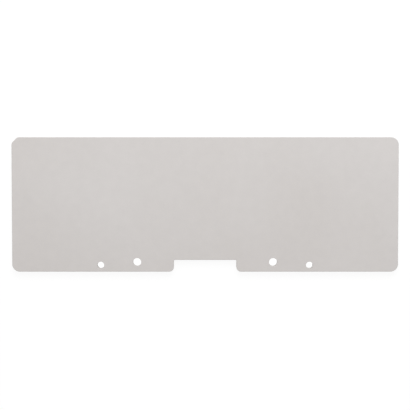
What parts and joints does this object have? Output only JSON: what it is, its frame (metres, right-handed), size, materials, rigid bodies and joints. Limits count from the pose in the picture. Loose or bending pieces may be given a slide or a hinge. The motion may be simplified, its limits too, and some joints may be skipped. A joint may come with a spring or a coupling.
{
  "type": "terminal block partition plate",
  "caption": "Thin flat partition plate with softened corners, a shallow notch in a long edge and small pin holes beside it.",
  "frame": {"origin": "under the middle of the plate, on its back face", "axes": "+X along the plate's length, +Y from the notched bottom edge to the top edge, +Z out of the front face; the plate lies on its back face, and its cut corner is at -X +Y"},
  "size_m": [0.105, 0.0366, 0.002],
  "materials": {
    "grey_plastic": "light warm grey moulded plastic, matte with a very fine grain"
  },
  "bodies": {
    "root": {"partition_plate": "grey_plastic"}
  },
  "joints": []
}
